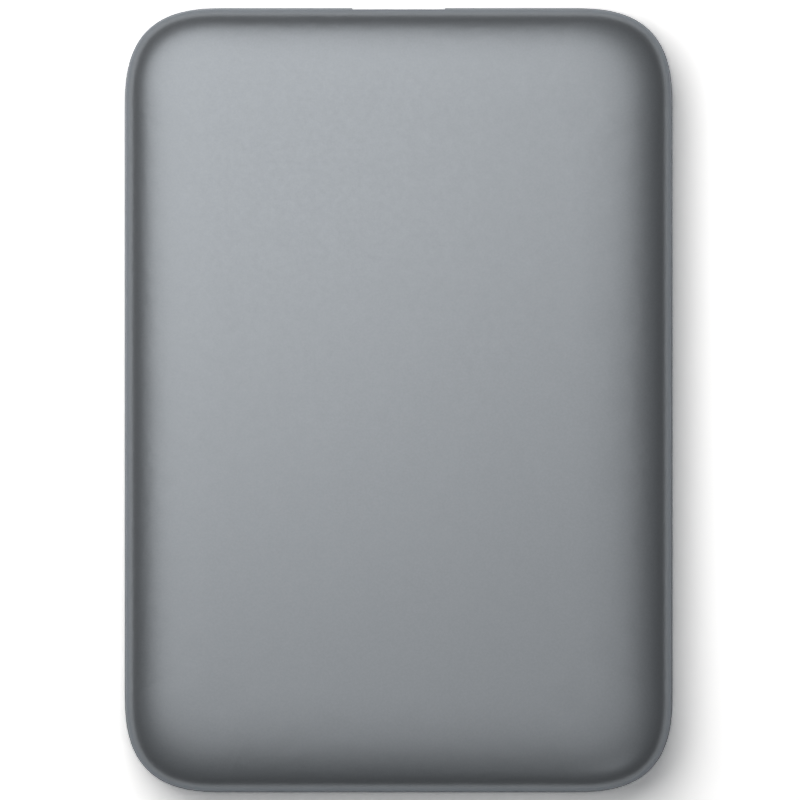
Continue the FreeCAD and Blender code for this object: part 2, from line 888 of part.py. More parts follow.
def circles(drawing, radius, places):
    for x, y in places:
        circle(drawing, radius, x, y)
    return drawing


def make_drive_base():
    piece = body("drive_base", DRIVE)
    half = "drive_width / 2"
    drawing = rectangle(sketch(piece), f"-{half}", half, "0", "drive_length")
    feature = pad(piece, drawing, "rim_z")
    round_uprights(piece, feature, "drive_corner")

    disk_bay = circle(sketch(piece, "rim_z"), "bay_radius", "0", "spindle_at")
    pocket(piece, disk_bay, "rim_z - deck_thickness")
    arm_half = "drive_width / 2 - side_wall"
    arm_bay = rectangle(sketch(piece, "rim_z"), f"-({arm_half})", arm_half,
                        "spindle_at + arm_bay_offset", "arm_bay_end")
    pocket(piece, arm_bay, "rim_z - deck_thickness")
    shelf_bay = rectangle(sketch(piece, "rim_z"), "-shelf_half", "shelf_half",
                          "arm_bay_end - bay_gap", "bay_front")
    pocket(piece, shelf_bay, "rim_z - shelf_z")

    motor_bay = circle(sketch(piece, "deck_thickness"), "motor_recess", "0", "spindle_at")
    pocket(piece, motor_bay, "deck_thickness - motor_floor")
    boss = circle(sketch(piece, "motor_floor"), "boss_outer", "0", "spindle_at")
    circle(boss, "boss_inner", "0", "spindle_at")
    pad(piece, boss, "core_z + core_thickness - motor_floor")

    board_bay = rectangle(sketch(piece), "-board_half", "board_half", "board_rear", "drive_length")
    pocket(piece, board_bay, "board_top_z", back=True)
    chip_bay = rectangle(sketch(piece), "-(board_half - board_ledge)", "board_half - board_ledge",
                         "board_rear + board_ledge", "header_rear - board_ledge")
    pocket(piece, chip_bay, "chip_ceiling", back=True)
    notch_half = "(header_width / 2 + header_fit)"
    notch = rectangle(sketch(piece), f"header_x - {notch_half}", f"header_x + {notch_half}",
                      "header_rear - header_fit", "drive_length + header_fit")
    pocket(piece, notch, "header_top + header_fit", back=True)

    lid_holes = circles(sketch(piece, "rim_z"), "screw_radius + screw_fit", LID_SCREWS)
    pocket(piece, lid_holes, "screw_length + screw_fit")
    board_holes = circles(sketch(piece), "board_screw_radius + screw_fit", BOARD_SCREWS)
    pocket(piece, board_holes, "board_top_z + board_screw_length + screw_fit", back=True)

    rows = ("drive_length - mount_hole_front", "drive_length - mount_hole_rear")
    under = [(f"{sign} * mount_hole_spread / 2", y) for sign in ("-1", "1") for y in rows]
    pocket(piece, circles(sketch(piece), "mount_hole_radius", under), "mount_hole_depth", back=True)
    for side, back in (("-drive_width / 2", True), ("drive_width / 2", False)):
        flank = [(y, "side_hole_height") for y in rows]
        drawing = circles(sketch(piece, side, "YZ_Plane"), "mount_hole_radius", flank)
        pocket(piece, drawing, "mount_hole_depth", back=back)
    return piece


def make_drive_cover():
    piece = body("drive_cover", DRIVE)
    half = "(drive_width / 2 - lid_inset)"
    drawing = rectangle(sketch(piece, "lid_z"), f"-{half}", half, "lid_inset",
                        "drive_length - lid_inset")
    feature = pad(piece, drawing, "lid_thickness")
    round_uprights(piece, feature, "drive_corner - lid_inset")
    screws = LID_SCREWS + PIVOT_SCREW
    holes = circles(sketch(piece, "drive_height"), "screw_radius + screw_fit", screws)
    pocket(piece, holes, "lid_thickness")
    seats = circles(sketch(piece, "drive_height"), "screw_head_radius + screw_fit", screws)
    pocket(piece, seats, "screw_head_height + screw_fit")
    groove = circle(sketch(piece, "drive_height"), "lid_ring_radius", "0", "spindle_at")
    circle(groove, "lid_ring_radius - lid_ring_width", "0", "spindle_at")
    pocket(piece, groove, "lid_ring_depth")
    return piece


def make_cover_gasket():
    piece = body("cover_gasket", DRIVE)
    half = "(drive_width / 2 - gasket_inset)"
    drawing = rectangle(sketch(piece, "rim_z"), f"-{half}", half, "gasket_inset",
                        "drive_length - gasket_inset")
    feature = pad(piece, drawing, "gasket_thickness")
    round_uprights(piece, feature, "drive_corner - gasket_inset")
    inside = "(drive_width / 2 - gasket_inset - gasket_width)"
    window = rectangle(sketch(piece, "lid_z"), f"-{inside}", inside, "gasket_inset + gasket_width",
                       "drive_length - gasket_inset - gasket_width")
    pocket(piece, window, "gasket_thickness")
    return piece


def make_cover_screws():
    piece = body("cover_screws", DRIVE)
    places = LID_SCREWS + PIVOT_SCREW
    under_head = "drive_height - screw_fit - screw_head_height"
    heads = circles(sketch(piece, under_head), "screw_head_radius", places)
    pad(piece, heads, "screw_head_height")
    shanks = circles(sketch(piece, under_head), "screw_radius", places)
    pad(piece, shanks, f"{under_head} - rim_z + screw_length", back=True)
    return piece


# Drive board, its chips and its connector

def make_drive_board():
    piece = body("drive_board", DRIVE)
    half = "(board_half - board_fit)"
    drawing = rectangle(sketch(piece, "board_inset"), f"-{half}", half, "board_rear + board_fit",
                        "board_end")
    pad(piece, drawing, "board_thickness")
    holes = circles(sketch(piece, "board_inset"), "board_screw_radius + screw_fit", BOARD_SCREWS)
    pocket(piece, holes, "board_thickness", back=True)
    seats = circles(sketch(piece, "board_inset"), "board_screw_head + screw_fit", BOARD_SCREWS)
    pocket(piece, seats, "board_screw_height + screw_fit", back=True)
    return piece


def make_board_screws():
    piece = body("board_screws", DRIVE)
    seat = "board_inset + screw_fit"
    heads = circles(sketch(piece, seat), "board_screw_head", BOARD_SCREWS)
    pad(piece, heads, "board_screw_height")
    shanks = circles(sketch(piece, seat), "board_screw_radius", BOARD_SCREWS)
    pad(piece, shanks, f"board_top_z + board_screw_length - ({seat})")
    return piece


BOARD_CHIPS = ["drive_controller", "cache_memory", "motor_driver"]


def make_board_chips():
    middle = "(board_rear + header_rear) / 2"
    for label in BOARD_CHIPS:
        low = (f"{label}_x - {label}_width / 2", f"{middle} - {label}_length / 2", "board_top_z")
        high = (f"{label}_x + {label}_width / 2", f"{middle} + {label}_length / 2",
                "board_top_z + chip_height")
        node(block(label, low, high, DRIVE))
    half = "(board_half - board_ledge - board_fit)"
    low = (f"-{half}", "board_rear + board_ledge + board_fit", "chip_ceiling - pad_thickness")
    high = (half, "header_rear - board_ledge - board_fit", "chip_ceiling")
    node(block("board_pad", low, high, DRIVE))


SIGNAL_COUNT = 7
POWER_COUNT = 15
BLADES = [
    ("signal_place", "signal_width", SIGNAL_COUNT),
    ("power_place", "power_width", POWER_COUNT),
]


def blade_box(drawing, place_name, width_name, room):
    """Outline of one contact blade, or of its slot with room all round."""
    middle = f"(header_x + {place_name})"
    half = f"({width_name} / 2 + {room})"
    tall = f"(blade_thickness / 2 + {room})"
    return rectangle(drawing, f"{middle} - {half}", f"{middle} + {half}",
                     f"sata_height - {tall}", f"sata_height + {tall}")


def make_sata_header():
    piece = body("sata_header", DRIVE)
    half = "header_width / 2"
    face = rectangle(sketch(piece, "-drive_length", "XZ_Plane"), f"header_x - {half}",
                     f"header_x + {half}", "board_top_z", "header_top")
    pad(piece, face, "header_depth", back=False)
    mouth = rectangle(sketch(piece, "-drive_length", "XZ_Plane"), "header_x - plug_width / 2",
                      "header_x + plug_width / 2", "sata_height - plug_height / 2",
                      "sata_height + plug_height / 2")
    pocket(piece, mouth, "plug_depth", back=True)
    for place_name, width_name, count in BLADES:
        floor = sketch(piece, "plug_depth - drive_length", "XZ_Plane")
        pad(piece, blade_box(floor, place_name, width_name, "0"), "blade_length", back=True)
    return piece


def make_sata_contacts():
    piece = body("sata_contacts", DRIVE)
    drawing = sketch(piece, "sata_height + blade_thickness / 2")
    for place_name, width_name, count in BLADES:
        for index in range(count):
            middle = f"header_x + {place_name} + {index - (count - 1) / 2} * contact_pitch"
            rectangle(drawing, f"{middle} - contact_width / 2", f"{middle} + contact_width / 2",
                      "drive_length - plug_depth", "drive_length - plug_depth + contact_length")
    pad(piece, drawing, "contact_thickness")
    return piece


def make_sata_socket():
    """The bridge board's half of the drive connector, plugged in."""
    piece = body("sata_socket", DRIVE)
    front = "-(drive_length + socket_gap + socket_depth)"
    half = "(plug_width / 2 + socket_side)"
    face = rectangle(sketch(piece, front, "XZ_Plane"), f"header_x - {half}", f"header_x + {half}",
                     "sata_height - socket_height / 2", "sata_height + socket_height / 2")
    pad(piece, face, "socket_depth")
    half = "(plug_width / 2 - plug_fit)"
    tall = "(plug_height / 2 - plug_fit)"
    nose = rectangle(sketch(piece, front, "XZ_Plane"), f"header_x - {half}", f"header_x + {half}",
                     f"sata_height - {tall}", f"sata_height + {tall}")
    pad(piece, nose, "socket_depth + socket_gap + plug_depth - plug_fit")
    for place_name, width_name, count in BLADES:
        tip = sketch(piece, "plug_depth - plug_fit - drive_length", "XZ_Plane")
        slot = blade_box(tip, place_name, width_name, "blade_fit")
        pocket(piece, slot, "blade_length + blade_fit")
    return piece


# Disk stack and motor

def make_spindle_hub():
    bore = "shaft_radius + shaft_fit"
    barrel = "disk_bore - hub_fit"
    piece = turned("spindle_hub", SPINDLE, [
        (bore, "skirt_z"), ("hub_sleeve", "skirt_z"), ("hub_sleeve", "ceiling_z"),
        ("magnet_outer", "ceiling_z"), ("magnet_outer", "skirt_z"), ("skirt_outer", "skirt_z"),
        ("skirt_outer", "ceiling_z"), ("flange_radius", "ceiling_z"), ("flange_radius", "disk_low_z"),
        (barrel, "disk_low_z"), (barrel, "hub_top_z"), ("0", "hub_top_z"),
        ("0", "shaft_top_z + shaft_fit"), (bore, "shaft_top_z + shaft_fit"),
    ])
    holes = circles(sketch(piece, "hub_top_z"), "clamp_screw_radius + screw_fit", CLAMP_SCREWS)
    pocket(piece, holes, "clamp_screw_depth")
    return piece


CLAMP_SCREW_COUNT = 6
CLAMP_SCREWS = [
    (f"clamp_screw_circle * {math.cos(turn):.6f}", f"clamp_screw_circle * {math.sin(turn):.6f}")
    for turn in (index * 2 * math.pi / CLAMP_SCREW_COUNT for index in range(CLAMP_SCREW_COUNT))
]


def make_disk_clamp():
    """Spring plate that bears on the upper disk, dished over the hub."""
    low = "stack_top_z"
    piece = ring("disk_clamp", SPINDLE, "shaft_radius", "clamp_radius", low, f"{low} + clamp_thickness")
    holes = circles(sketch(piece, f"{low} + clamp_thickness"), "clamp_screw_radius + screw_fit",
                    CLAMP_SCREWS)
    pocket(piece, holes, "clamp_thickness")
    return piece


def make_clamp_screws():
    piece = body("clamp_screws", SPINDLE)
    drawing = circles(sketch(piece, "hub_top_z - clamp_screw_depth + screw_fit"), "clamp_screw_radius",
                      CLAMP_SCREWS)
    pad(piece, drawing, "clamp_screw_depth - screw_fit + hub_lip + clamp_thickness")
    return piece


TOOTH_COUNT = 9


def make_stator():
    core = body("stator_core", SPINDLE)
    hoop = circle(sketch(core, "core_z"), "boss_outer + core_ring")
    circle(hoop, "boss_outer")
    pad(core, hoop, "core_thickness")
    tooth = rectangle(sketch(core, "core_z"), "boss_outer + core_ring / 2", "core_outer",
                      "-tooth_width / 2", "tooth_width / 2")
    repeat_round(core, pad(core, tooth, "core_thickness"), TOOTH_COUNT)
    node(core)

    coils = body("stator_coils", SPINDLE)
    x0 = "boss_outer + core_ring + winding"
    x1 = "core_outer - winding"
    wide = "(tooth_width / 2 + winding)"
    turns = rectangle(sketch(coils, "core_z - winding + motor_gap / 4"), x0, x1, f"-{wide}", wide)
    block_pad = pad(coils, turns, "core_thickness + 2 * winding - motor_gap / 2")
    hole = rectangle(sketch(coils, "core_z"), f"{x0} - winding", f"{x1} + winding",
                     "-tooth_width / 2", "tooth_width / 2")
    slot = pocket(coils, hole, "core_thickness", back=True)
    pattern = repeat_round(coils, block_pad, TOOTH_COUNT)
    pattern.Originals = [block_pad, slot]
    node(coils)


# Actuator

def make_actuator_arm():
    piece = body("arm_stack", PIVOT, "park_angle")
    arm = polygon(sketch(piece, "arm_low_z"), [
        ("0", "-arm_root / 2"), ("arm_end", "-arm_tip / 2"), ("arm_end", "arm_tip / 2"),
        ("0", "arm_root / 2"),
    ])
    repeat_up(piece, pad(piece, arm, "arm_thickness"), "2 * disk_pitch", 3)
    hub = circle(sketch(piece, "arm_low_z"), "arm_hub_radius")
    pad(piece, hub, "arm_top_z - arm_low_z")
    bore = circle(sketch(piece, "arm_top_z"), "sleeve_radius + sleeve_fit")
    pocket(piece, bore, "arm_top_z - arm_low_z")
    lightening = circle(sketch(piece, "arm_top_z"), "arm_hole_radius", "arm_hole_place", "0")
    pocket(piece, lightening, "arm_top_z - arm_low_z")
    frame = sector("coil_frame", "(sleeve_radius + arm_hub_radius) / 2", "coil_outer + frame_wall",
                   "coil_z", "coil_thickness", "coil_rest_angle", "frame_span")
    window = sector("coil_window", "coil_inner", "coil_outer", "coil_z", "coil_thickness",
                    "coil_rest_angle", "coil_angle")
    return fuse("actuator_arm", piece, cut("coil_cradle", frame, window))


def make_voice_coil():
    whole = sector("coil_form", "coil_inner", "coil_outer", "coil_z", "coil_thickness",
                   "coil_rest_angle", "coil_angle")
    eye = sector("coil_eye", "coil_inner + coil_band", "coil_outer - coil_band", "coil_z",
                 "coil_thickness", "coil_rest_angle", "coil_angle - 2 * coil_band_angle")
    return cut("voice_coil", whole, eye)


# Heads: level of the arm that carries them, and whether they look up at a disk
HEADS = [("head_1", 0, True), ("head_2", 1, False), ("head_3", 1, True), ("head_4", 2, False)]


def make_head(label, level, looks_up):
    """Thin suspension with its slider near the tip and the lifting tab beyond it."""
    piece = body(label, PIVOT, "park_angle")
    arm_z = f"arm_low_z + {level} * disk_pitch"
    seat = f"{arm_z} + arm_thickness" if looks_up else arm_z
    neck = "arm_length - slider_length"
    beam = polygon(sketch(piece, seat), [
        ("arm_end - suspension_seat", "-arm_tip / 2"), ("arm_end", "-arm_tip / 2"),
        (neck, "-suspension_nose / 2"), ("tab_end", "-tab_width / 2"), ("tab_end", "tab_width / 2"),
        (neck, "suspension_nose / 2"), ("arm_end", "arm_tip / 2"),
        ("arm_end - suspension_seat", "arm_tip / 2"),
    ])
    pad(piece, beam, "suspension_thickness", back=not looks_up)
    slider = rectangle(sketch(piece, seat), "arm_length - slider_length / 2",
                       "arm_length + slider_length / 2", "-slider_width / 2", "slider_width / 2")
    pad(piece, slider, "suspension_thickness + slider_height", back=not looks_up)
    return piece


def make_pivot_shaft():
    foot = "pivot_radius + pivot_flange"
    step = "deck_thickness + pivot_step"
    hole = "screw_radius + screw_fit"
    depth = "rim_z - screw_length - screw_fit"
    return turned("pivot_shaft", PIVOT, [
        ("0", "deck_thickness"), (foot, "deck_thickness"), (foot, step), ("pivot_radius", step),
        ("pivot_radius", "lid_z"), (hole, "lid_z"), (hole, depth), ("0", depth),
    ])


def make_yokes():
    span = "yoke_span"
    size = ("yoke_inner", "yoke_outer")
    node(sector("yoke_lower", *size, "shelf_z", "yoke_thickness", "coil_mid_angle", span))
    node(sector("yoke_upper", *size, "yoke_upper_z", "yoke_thickness", "coil_mid_angle", span))
    node(sector("voice_magnet", "coil_inner", "coil_outer", "shelf_z + yoke_thickness",
                "voice_magnet_thickness", "coil_mid_angle", "voice_magnet_span"))
    low = "(shelf_z + yoke_thickness)"
    posts = []
    sleeves = []
    for name, angle in (("rest", "stop_rest_angle"), ("inner", "stop_inner_angle")):
        aim = f"({angle} * 1 deg)"
        at = (f"pivot_x + stop_orbit * cos{aim}", f"pivot_y + stop_orbit * sin{aim}", f"drive_z + {low}")
        posts.append(rod(f"yoke_post_{name}", "post_core", f"yoke_upper_z - {low}", at))
        sleeve = rod(f"stop_sleeve_{name}", "stop_radius", f"yoke_upper_z - {low}", at)
        core = rod(f"stop_core_{name}", "post_core + stop_fit", f"yoke_upper_z - {low}", at)
        sleeves.append(cut(f"crash_stop_{name}", sleeve, core))
    node(group("yoke_posts", posts))
    node(group("crash_stops", sleeves))


def make_park_ramp():
    """Comb beside the disks: the heads' tabs rest on its two fingers when parked."""
    piece = body("park_ramp", PIVOT, "park_angle")
    spine_x = "tab_end + fly_gap"
    spine = rectangle(sketch(piece, "deck_thickness"), spine_x, f"{spine_x} + ramp_spine",
                      "-ramp_inside", "ramp_outside")
    pad(piece, spine, "arm_top_z - deck_thickness")
    low = "arm_low_z + arm_thickness + suspension_thickness + ramp_gap"
    finger = rectangle(sketch(piece, low), "arm_length + ramp_nose", f"{spine_x} + ramp_spine",
                       "-ramp_inside", "ramp_outside")
    rise = "disk_pitch - arm_thickness - 2 * suspension_thickness - 2 * ramp_gap"
    repeat_up(piece, pad(piece, finger, rise), "disk_pitch", 2)
    return piece


def make_flex_cable():
    """Ribbon that loops from the arm's hub to its bracket."""
    aim = "(flex_angle * 1 deg)"
    reach = "(arm_hub_radius + flex_gap + flex_radius)"
    at = (f"pivot_x + {reach} * cos{aim}", f"pivot_y + {reach} * sin{aim}",
          "drive_z + shelf_z + flex_lift")
    outside = rod("flex_outside", "flex_radius", "flex_height", at, "180", "flex_angle - 180")
    inside = rod("flex_inside", "flex_radius - flex_thickness", "flex_height", at)
    return cut("flex_cable", outside, inside)


def make_flex_bracket():
    near = "arm_hub_radius + 2 * flex_gap + 2 * flex_radius"
    low = (near, "-bracket_width / 2", "shelf_z")
    high = (f"{near} + bracket_depth", "bracket_width / 2", "shelf_z + flex_lift + flex_height")
    return block("flex_bracket", low, high, PIVOT, "flex_angle")


def make_filters():
    node(rod("breather_filter", "breather_radius", "breather_height",
             ("shelf_half - breather_x", "drive_rear_y + bay_front - breather_inset",
              "drive_z + shelf_z")))
    wall = "-(drive_width / 2 - side_wall - filter_gap)"
    low = (wall, "spindle_at + filter_offset", "deck_thickness")
    high = (f"{wall} + filter_thickness", "spindle_at + filter_offset + filter_length",
            "deck_thickness + filter_height")
    node(block("recirculation_filter", low, high, DRIVE))


# Bridge board and its socket

def make_bridge_board():
    piece = body("bridge_board")
    drawing = rectangle(sketch(piece, "bridge_z"), "-bridge_width / 2", "bridge_width / 2",
                        "bridge_rear_y", "bridge_front_y")
    feature = pad(piece, drawing, "bridge_thickness")
    round_uprights(piece, feature, "bridge_corner")
    pins = [("-post_offset", "bridge_mid_y"), ("post_offset", "bridge_mid_y")]
    holes = circles(sketch(piece, "bridge_top_z"), "post_pin_radius + post_fit", pins)
    pocket(piece, holes, "bridge_thickness")
    return piece


USB = ("0", "usb_front_y", "bridge_top_z")


def usb_profile(drawing, inset):
    """The socket's outline: a wide bevelled part and a smaller one beside it."""
    side = f"(usb_width / 2 - {inset})"
    top = f"usb_height - ({inset})"
    bevel = "(usb_width / 2 - usb_bevel)"
    low = inset
    notch = f"usb_notch + {inset}"
    return polygon(drawing, [
        (f"-{side}", top), (side, top), (side, "usb_bevel"), (bevel, low),
        ("usb_split + usb_notch", low), ("usb_split", notch), ("usb_split - usb_notch", low),
        (f"-{bevel}", low), (f"-{side}", "usb_bevel"),
    ])


def make_usb_shell():
    piece = body("usb_shell", USB)
    pad(piece, usb_profile(sketch(piece, plane="XZ_Plane"), "0"), "usb_depth")
    pocket(piece, usb_profile(sketch(piece, plane="XZ_Plane"), "usb_wall"), "usb_depth", back=True)
    return piece


# Blades of the socket: first and last x, from the socket's middle
USB_BLADES = [
    ("-usb_width / 2 + usb_wall + usb_blade_inset", "usb_split - usb_blade_inset"),
    ("usb_split + usb_blade_inset", "usb_width / 2 - usb_wall - usb_blade_inset"),
]
USB_CONTACT_COUNT = 5


def make_usb_tongue():
    piece = body("usb_tongue", USB)
    back = sketch(piece, "usb_depth - usb_plug", "XZ_Plane")
    pad(piece, usb_profile(back, "(usb_wall + usb_fit)"), "usb_plug")
    for x0, x1 in USB_BLADES:
        blade = rectangle(sketch(piece, "usb_blade_short", "XZ_Plane"), x0, x1,
                          "(usb_height - usb_blade) / 2", "(usb_height + usb_blade) / 2")
        pad(piece, blade, "usb_depth - usb_plug / 2 - usb_blade_short")
    return piece


def make_usb_contacts():
    piece = body("usb_contacts", USB)
    drawing = sketch(piece, "usb_blade_short + contact_thickness", "XZ_Plane")
    low = "(usb_height + usb_blade) / 2"
    for x0, x1 in USB_BLADES:
        for index in range(USB_CONTACT_COUNT):
            step = index - (USB_CONTACT_COUNT - 1) / 2
            middle = f"(({x0}) + ({x1})) / 2 + {step} * usb_contact_pitch"
            rectangle(drawing, f"{middle} - usb_contact_width / 2", f"{middle} + usb_contact_width / 2",
                      low, f"{low} + contact_thickness")
    pad(piece, drawing, "usb_depth - usb_plug - usb_blade_short - contact_thickness")
    return piece


# Parts on the bridge board: label, middle in y, whether they sit on top
BRIDGE_PARTS = [
    ("bridge_controller", "bridge_mid_y", False),
    ("bridge_flash", "bridge_mid_y", False),
    ("bridge_crystal", "bridge_mid_y", False),
    ("bridge_inductor", "bridge_mid_y + bridge_inductor_forward", True),
]


def make_bridge_parts():
    for label, middle, on_top in BRIDGE_PARTS:
        low_z = "bridge_top_z" if on_top else f"bridge_z - {label}_height"
        low = (f"{label}_x - {label}_width / 2", f"{middle} - {label}_length / 2", low_z)
        high = (f"{label}_x + {label}_width / 2", f"{middle} + {label}_length / 2",
                f"{low_z} + {label}_height")
        node(block(label, low, high))
    low = ("led_x - led_width / 2", "bridge_front_y - led_depth", "bridge_top_z")
    high = ("led_x + led_width / 2", "bridge_front_y", "bridge_top_z + led_height")
    node(block("status_led", low, high))


node(make_top_cover())
node(make_bottom_cover())
make_feet()
node(make_light_pipe())
make_bumpers()
node(make_bridge_board())
node(make_usb_shell())
node(make_usb_tongue())
node(make_usb_contacts())
node(make_sata_socket())
make_bridge_parts()
node(make_drive_base())
node(make_drive_cover())
node(make_cover_gasket())
node(make_cover_screws())
node(make_drive_board())
node(make_board_screws())
make_board_chips()
node(make_sata_header())
node(make_sata_contacts())
node(rod("spindle_shaft", "shaft_radius", "shaft_top_z - motor_floor",
         ("0", "spindle_y", "drive_z + motor_floor")))
make_stator()
node(make_spindle_hub())
node(ring("rotor_magnet", SPINDLE, "magnet_inner", "magnet_outer - hub_fit", "skirt_z", "ceiling_z"))
for level, low in (("lower", "disk_low_z"), ("upper", "disk_high_z")):
    node(ring("platter_" + level, SPINDLE, "disk_bore", "disk_radius", low, f"{low} + disk_thickness"))
node(ring("platter_spacer", SPINDLE, "disk_bore", "clamp_radius", "disk_low_z + disk_thickness",
          "disk_high_z"))
node(make_disk_clamp())
node(make_clamp_screws())
node(make_pivot_shaft())
node(ring("pivot_sleeve", PIVOT, "pivot_radius + pivot_fit", "sleeve_radius", "arm_low_z", "arm_top_z"))
node(make_actuator_arm())
node(make_voice_coil())
for label, level, looks_up in HEADS:
    node(make_head(label, level, looks_up))
make_yokes()
node(make_park_ramp())
node(make_flex_cable())
node(make_flex_bracket())
make_filters()

doc.recompute()

for obj in doc.Objects:
    if "Invalid" in obj.State or "Error" in obj.State:
        raise RuntimeError(f"{obj.Label} failed: {obj.State}")
    if obj.TypeId == "PartDesign::Pocket" and obj.Shape.Volume >= obj.BaseFeature.Shape.Volume:
        raise RuntimeError(f"{obj.Label} cuts nothing")
for obj in nodes:
    if obj.Shape.isNull() or not obj.Shape.isValid():
        raise RuntimeError(f"{obj.Label} is not a sound solid")

os.makedirs("parts", exist_ok=True)
for obj in nodes:
    obj.Shape.exportStep(f"parts/{obj.Label}.step")
print(f"{len(nodes)} nodes, case {number('case_width'):.2f} x {number('case_length'):.2f} x "
      f"{number('case_height'):.2f} mm, swing {number('swing'):.2f} degrees")
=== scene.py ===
import math

import bpy
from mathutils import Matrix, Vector


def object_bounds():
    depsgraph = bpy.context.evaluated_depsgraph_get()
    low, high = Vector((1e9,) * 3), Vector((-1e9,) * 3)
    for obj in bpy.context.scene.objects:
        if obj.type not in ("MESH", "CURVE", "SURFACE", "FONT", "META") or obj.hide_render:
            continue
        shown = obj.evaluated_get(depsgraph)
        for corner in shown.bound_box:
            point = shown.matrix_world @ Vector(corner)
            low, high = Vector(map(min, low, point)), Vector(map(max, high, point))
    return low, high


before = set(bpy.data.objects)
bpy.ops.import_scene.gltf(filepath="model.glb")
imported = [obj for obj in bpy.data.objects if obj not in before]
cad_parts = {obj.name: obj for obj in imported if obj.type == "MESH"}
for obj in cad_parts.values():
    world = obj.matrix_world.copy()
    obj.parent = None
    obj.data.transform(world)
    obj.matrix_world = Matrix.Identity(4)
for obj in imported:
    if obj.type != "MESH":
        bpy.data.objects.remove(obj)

# Looks of a portable hard drive: satin grey case on a white floor, and the finish of all its insides.
# Everything is in metres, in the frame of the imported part.

MM = 0.001
cad_low, cad_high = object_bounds()
bpy.context.scene.view_settings.view_transform = "Standard"


# Camera: straight above, with the photograph's framing

IMAGE_PIXELS = 800
PIXELS_PER_METRE = 6851.0
CAMERA_DISTANCE = 1.3
CAMERA_SHIFT_X = 0.197 * MM
CAMERA_SHIFT_Y = 0.036 * MM
SENSOR_WIDTH = 36.0


def add_camera():
    data = bpy.data.cameras.new("camera")
    frame_width = IMAGE_PIXELS / PIXELS_PER_METRE
    data.sensor_fit = "HORIZONTAL"
    data.sensor_width = SENSOR_WIDTH
    data.lens = SENSOR_WIDTH * CAMERA_DISTANCE / frame_width
    camera = bpy.data.objects.new("camera", data)
    bpy.context.scene.collection.objects.link(camera)
    middle = (cad_low.z + cad_high.z) / 2
    camera.location = (CAMERA_SHIFT_X, CAMERA_SHIFT_Y, middle + CAMERA_DISTANCE)
    bpy.context.scene.camera = camera


# Studio: floor, soft key light, two small weak lights and a sky that is dark near the horizon

FLOOR_HALF = 6.0
# The floor lights the part as FLOOR_COLOUR, and looks white to the camera and in reflections
FLOOR_COLOUR = 0.80
FLOOR_SEEN = (2.14, 2.11, 2.08)
KEY_PLACE = (-0.067, 0.092, 0.292)
KEY_SIZE = 0.256
KEY_POWER = 0.601
FILL_PLACE = (0.091, -0.187, 0.231)
FILL_SIZE = 0.03
FILL_POWER = 0.0202
OVER_PLACE = (0.040, -0.055, 0.500)
OVER_SIZE = 0.08
OVER_POWER = 0.0563
# Colour of the sky by the sine of its elevation, from the horizon to the zenith
SKY_STEPS = [
    (0.0, (0.02, 0.02, 0.02)),
    (0.34, (0.008, 0.009, 0.011)),
    (0.60, (0.006, 0.009, 0.014)),
    (0.80, (0.082, 0.094, 0.105)),
    (0.94, (0.106, 0.109, 0.112)),
    (1.0, (0.869, 0.874, 0.879)),
]


def add_floor():
    mesh = bpy.data.meshes.new("floor")
    corners = [(-FLOOR_HALF, -FLOOR_HALF, 0), (FLOOR_HALF, -FLOOR_HALF, 0),
               (FLOOR_HALF, FLOOR_HALF, 0), (-FLOOR_HALF, FLOOR_HALF, 0)]
    mesh.from_pydata(corners, [], [(0, 1, 2, 3)])
    floor = bpy.data.objects.new("floor", mesh)
    bpy.context.scene.collection.objects.link(floor)
    material = bpy.data.materials.new("floor")
    material.use_nodes = True
    tree = material.node_tree
    tree.nodes.clear()
    out = tree.nodes.new("ShaderNodeOutputMaterial")
    mix = tree.nodes.new("ShaderNodeMixShader")
    plain = tree.nodes.new("ShaderNodeBsdfDiffuse")
    plain.inputs["Color"].default_value = (FLOOR_COLOUR, FLOOR_COLOUR, FLOOR_COLOUR, 1)
    seen = tree.nodes.new("ShaderNodeBsdfDiffuse")
    seen.inputs["Color"].default_value = (*FLOOR_SEEN, 1)
    path = tree.nodes.new("ShaderNodeLightPath")
    looking = path.outputs["Is Camera Ray"]
    for kind in ("Is Glossy Ray", "Is Transmission Ray"):
        either = tree.nodes.new("ShaderNodeMath")
        either.operation = "MAXIMUM"
        tree.links.new(looking, either.inputs[0])
        tree.links.new(path.outputs[kind], either.inputs[1])
        looking = either.outputs[0]
    tree.links.new(looking, mix.inputs["Fac"])
    tree.links.new(plain.outputs[0], mix.inputs[1])
    tree.links.new(seen.outputs[0], mix.inputs[2])
    tree.links.new(mix.outputs[0], out.inputs["Surface"])
    mesh.materials.append(material)


def add_lamp(name, place, size, power):
    """Square lamp that faces the part."""
    data = bpy.data.lights.new(name, "AREA")
    data.shape = "SQUARE"
    data.size = size
    data.energy = power
    lamp = bpy.data.objects.new(name, data)
    bpy.context.scene.collection.objects.link(lamp)
    lamp.location = place
    lamp.rotation_euler = (-Vector(place)).to_track_quat("-Z", "Y").to_euler()


def add_sky():
    world = bpy.data.worlds.new("sky")
    bpy.context.scene.world = world
    world.use_nodes = True
    tree = world.node_tree
    tree.nodes.clear()
    out = tree.nodes.new("ShaderNodeOutputWorld")
    light = tree.nodes.new("ShaderNodeBackground")
    where = tree.nodes.new("ShaderNodeTexCoord")
    split = tree.nodes.new("ShaderNodeSeparateXYZ")
    ramp = tree.nodes.new("ShaderNodeValToRGB")
    stops = ramp.color_ramp.elements
    while len(stops) < len(SKY_STEPS):
        stops.new(1.0)
    for stop, (height, colour) in zip(stops, SKY_STEPS):
        stop.position = height
        stop.color = (*colour, 1)
    tree.links.new(where.outputs["Generated"], split.inputs[0])
    tree.links.new(split.outputs["Z"], ramp.inputs["Fac"])
    tree.links.new(ramp.outputs["Color"], light.inputs["Color"])
    tree.links.new(light.outputs[0], out.inputs["Surface"])


# Materials: one function for each finish

